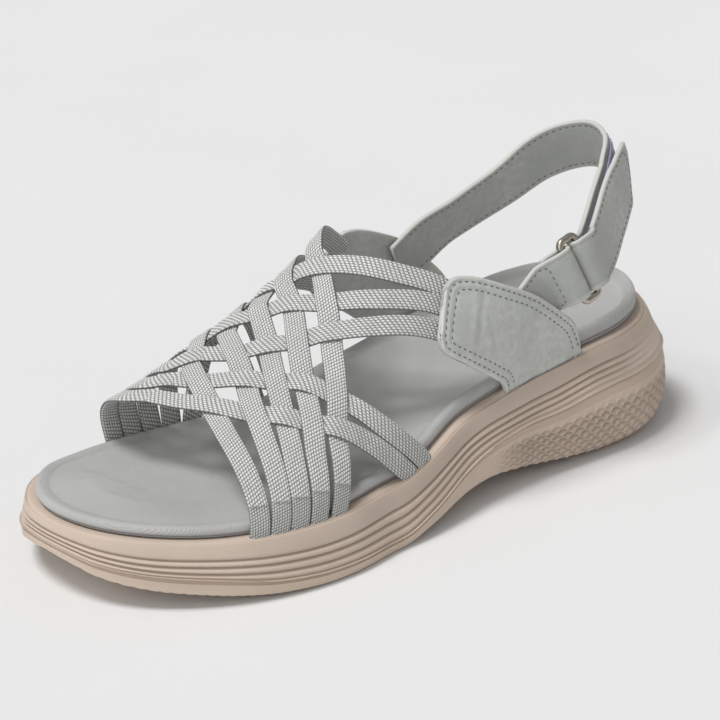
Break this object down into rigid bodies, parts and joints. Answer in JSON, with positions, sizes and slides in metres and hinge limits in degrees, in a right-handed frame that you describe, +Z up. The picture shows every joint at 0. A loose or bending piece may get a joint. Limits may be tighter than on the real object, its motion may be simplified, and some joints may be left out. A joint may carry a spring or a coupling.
{
  "type": "woven-strap sandal",
  "caption": "Left woven-strap sandal with a contoured footbed, a grooved foam sole with a textured heel block, leather quarters and a heel strap folded back through a metal ring",
  "frame": {"origin": "On the floor under the middle of the sandal's box", "axes": "+X to the toes along the sole, +Y to the outer side of the left foot, +Z up"},
  "size_m": [0.265, 0.1034, 0.1075],
  "materials": {
    "sole_lower": "moulded foam-rubber blend, satin",
    "sole_upper": "moulded foam, satin",
    "footbed_cover": "brushed textile over foam",
    "webbing": "flat elastic webbing of two yarns",
    "quarter_leather": "fine matt grain",
    "strap_leather": "fine matt grain",
    "ring_metal": "satin nickel",
    "loop_tape": "soft loop pile"
  },
  "bodies": {
    "root": {"outsole": "sole_lower", "midsole": "sole_upper", "footbed": "footbed_cover", "woven_upper": "webbing", "lateral_quarter": "quarter_leather", "medial_quarter": "quarter_leather", "ring_tab": "strap_leather", "ring": "ring_metal", "heel_strap": "strap_leather", "loop_tape": "loop_tape"}
  },
  "joints": []
}
